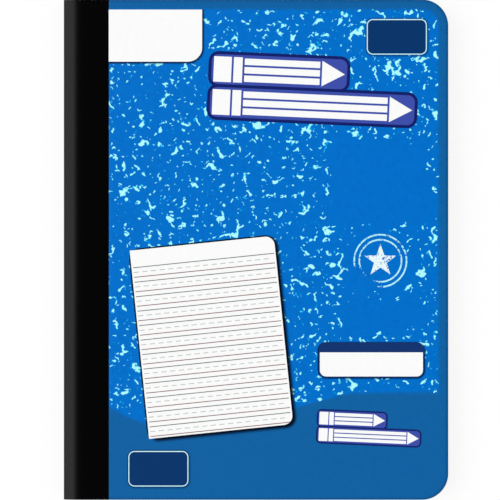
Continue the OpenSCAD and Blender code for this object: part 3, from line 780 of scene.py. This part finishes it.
# Plain weave: warp and weft threads take turns on top
book_weave, weave_in, weave_out = start_group(
    "Book cloth weave", [("Point", "Vector", None), ("Threads", "Float", 3.0)],
    [("Height", "Float"), ("Tone", "Float")])
weave_xyz = place(book_weave, "SeparateXYZ", {0: vectors(book_weave, "SCALE", weave_in["Point"],
                                                          Scale=weave_in["Threads"])}).outputs
warp = maths(book_weave, "SINE", maths(book_weave, "MULTIPLY", weave_xyz["X"], math.pi))
weft = maths(book_weave, "SINE", maths(book_weave, "MULTIPLY", weave_xyz["Y"], math.pi))
crossing = maths(book_weave, "MULTIPLY", warp, weft)
slub = noise(book_weave, weave_in["Point"], 1.4, 4, 0.6)
book_weave.links.new(maths(book_weave, "ADD", maths(book_weave, "ABSOLUTE", crossing),
                           maths(book_weave, "MULTIPLY", slub, 0.8)), weave_out["Height"])
book_weave.links.new(maths(book_weave, "ADD", 0.8, maths(book_weave, "MULTIPLY", slub, 0.4)),
                     weave_out["Tone"])
weave = use_group(tree, book_weave, point=weave_point)
paint(tree, surface, srgb(2, 2, 3), weave["Tone"])
tree.links.new(maths(tree, "MULTIPLY_ADD", weave["Height"], 0.04, 0.15),
               surface.inputs["Roughness"])
emboss(tree, surface, weave["Height"], 0.16, 0.00003)


def make_cloth(name, side, body, board, *replaced):
    """One half of the strip. Side is +1 for the front cover and -1 for the back cover."""
    # Only the front cover's film leaves room for the cloth to stand proud of the board
    line = cloth_profile(cloth_lift if side > 0 else 0)
    cloth = new_piece(name, bpy.ops.mesh.primitive_plane_add, size=1)
    bpy.ops.transform.resize(value=(line[0][0] - line[1][0], 2 * head_y, 1),
                             center_override=(0, 0, 0))
    bpy.ops.transform.translate(value=((line[0][0] + line[1][0]) / 2, 0, line[0][1]))
    for (x0, z0), (x1, z1) in zip(line[1:], line[2:]):
        pick(cloth, "verts", lambda p: math.hypot(p.x - x0, p.z - z0) < touch)
        bpy.ops.mesh.extrude_region_move(TRANSFORM_OT_translate={"value": (x1 - x0, 0, z1 - z0)})
    if side < 0:
        bpy.ops.mesh.select_all(action="SELECT")
        bpy.ops.transform.mirror(constraint_axis=(False, False, True),
                                 center_override=(0, 0, mid_z))
    bpy.ops.mesh.select_all(action="SELECT")
    bpy.ops.mesh.normals_make_consistent(inside=False)
    bpy.ops.object.mode_set(mode="OBJECT")
    outward = cloth.data.polygons[0].normal.z * side
    add_modifier(cloth, "SOLIDIFY", thickness=cloth_t, offset=-1 if outward > 0 else 1)
    # Distance round the spine from the cut edge, for the weave
    reach = [0]
    for (x0, z0), (x1, z1) in zip(line, line[1:]):
        reach.append(reach[-1] + math.hypot(x1 - x0, z1 - z0))
    values = cloth.data.attributes.new("round_spine", "FLOAT", "POINT").data
    for vert in cloth.data.vertices:
        z = mid_z + side * (vert.co.z - mid_z)
        near = min(range(len(line)), key=lambda k: math.hypot(line[k][0] - vert.co.x,
                                                              line[k][1] - z))
        values[vert.index].value = side * reach[near]
    cloth.data.materials.append(black_cloth)
    close_piece(cloth, None, "black_book_cloth", *replaced)
    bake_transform(cloth)


make_cloth("cloth_front", 1, "front_board", front_board, "spine_cloth", "front_cloth_flap")
make_cloth("cloth_back", -1, "back_board", back_board, "back_cloth_flap")


# Stage: a plain white floor, a pale sky that is darker overhead, and one large soft lamp from the
# spine's side. The camera looks straight down, as the photo shows the book.

# The floor lies a little under the book, so that it doesn't share a plane with the back cover
floor_gap = 0.0004
floor = new_piece("floor", bpy.ops.mesh.primitive_plane_add, size=40)
bpy.ops.transform.translate(value=(0, 0, -floor_gap))
bpy.ops.object.mode_set(mode="OBJECT")
floor_white = bpy.data.materials.new("floor_white")
floor_white.use_nodes = True
tree = floor_white.node_tree
tree.nodes.remove(tree.nodes["Principled BSDF"])
ray = place(tree, "LightPath").outputs
seen = maths(tree, "MAXIMUM", ray["Is Camera Ray"],
             maths(tree, "MAXIMUM", ray["Is Glossy Ray"], ray["Is Transmission Ray"]))
floor_grey, glow_strength, glow_share = 0.94, 1.03, 0.8
lit = place(tree, "BsdfDiffuse", {"Color": (floor_grey, floor_grey, floor_grey, 1)}).outputs[0]
glow = place(tree, "Emission", {"Color": (1, 1, 1, 1), "Strength": glow_strength}).outputs[0]
glow_seen = maths(tree, "MULTIPLY", seen, glow_share)
plain = place(tree, "MixShader", {0: glow_seen, 1: lit, 2: glow}).outputs[0]
from_below = place(tree, "NewGeometry").outputs["Backfacing"]
open_floor = place(tree, "MixShader", {0: from_below, 1: plain,
                                       2: place(tree, "BsdfTransparent").outputs[0]}).outputs[0]
tree.links.new(open_floor, tree.nodes["Material Output"].inputs["Surface"])
floor.data.materials.append(floor_white)

# The sky is dark in a cone round this direction and pale beyond its outer angle
dark_toward = (0.17, 0.0, 0.985)
dark_inner, dark_outer, sky_strength = 0.22, 0.62, 0.8
world = bpy.data.worlds.new("studio")
bpy.context.scene.world = world
world.use_nodes = True
tree = world.node_tree
off_dark = maths(tree, "ARCCOSINE", vectors(
    tree, "DOT_PRODUCT", place(tree, "TexCoord").outputs["Generated"], dark_toward))
sky = ease(tree, off_dark, dark_inner, dark_outer, 0.0, sky_strength)
tree.links.new(sky, tree.nodes["Background"].inputs["Strength"])
tree.nodes["Background"].inputs["Color"].default_value = (1, 1, 1, 1)

lamp_points = Vector((0.73, -0.08, -0.68))
lamp_data = bpy.data.lights.new("lamp", "SUN")
lamp_data.energy = 1.47
lamp_data.angle = math.radians(60)
lamp = bpy.data.objects.new("lamp", lamp_data)
bpy.context.collection.objects.link(lamp)
lamp.rotation_euler = lamp_points.to_track_quat("-Z", "Y").to_euler()

# Above the place on the cover that lies in the middle of the photo
view_x, view_y, view_height = -0.00287, -0.00017, 1.3712
camera_data = bpy.data.cameras.new("camera")
camera_data.lens = 200
camera_data.sensor_width = 36
camera_data.clip_end = 20
camera = bpy.data.objects.new("camera", camera_data)
bpy.context.collection.objects.link(camera)
camera.location = (view_x, view_y, book_top_z + view_height)
bpy.context.scene.camera = camera

bpy.context.scene.view_settings.view_transform = "Standard"
